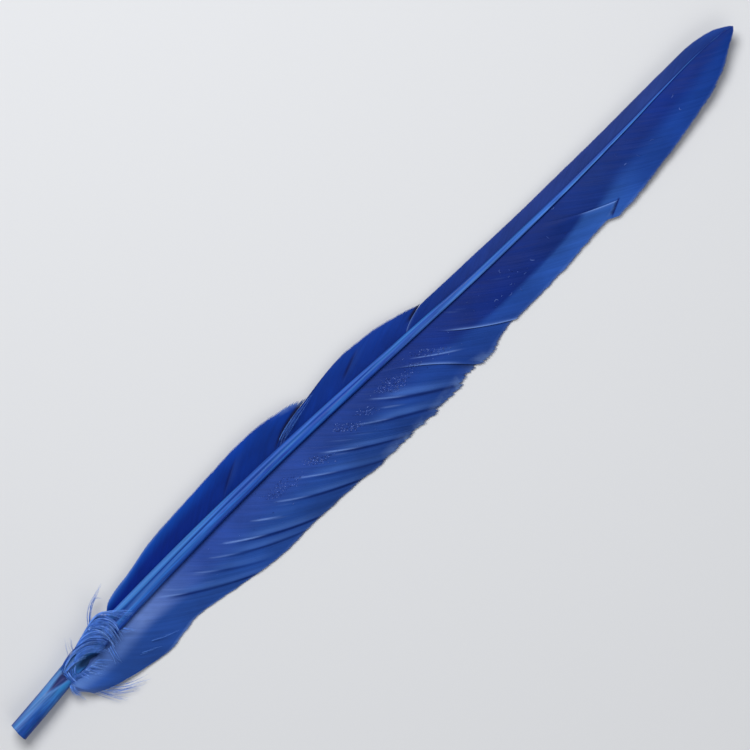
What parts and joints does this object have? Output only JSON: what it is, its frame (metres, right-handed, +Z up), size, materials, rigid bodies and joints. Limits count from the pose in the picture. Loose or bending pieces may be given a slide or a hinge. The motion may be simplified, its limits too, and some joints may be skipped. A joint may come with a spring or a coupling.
{
  "type": "goose quill feather",
  "caption": "Long dyed goose wing feather lying underside up: hollow cut quill, grooved tapering shaft, narrow and broad vanes, down at the base.",
  "frame": {"origin": "middle of the feather's outline, on the surface that it lies on", "axes": "+X from the cut quill towards the tip, +Y towards the narrow vane, +Z up from the surface, out of the grooved underside"},
  "size_m": [0.311, 0.0366, 0.0081],
  "materials": {
    "vane": "dyed barbs, satin, navy near the shaft and royal blue outside",
    "shaft": "dyed keratin, glossy, streaked lengthways",
    "down": "dyed down, soft and silky, light blue"
  },
  "bodies": {
    "root": {"feather": "vane"}
  },
  "joints": []
}
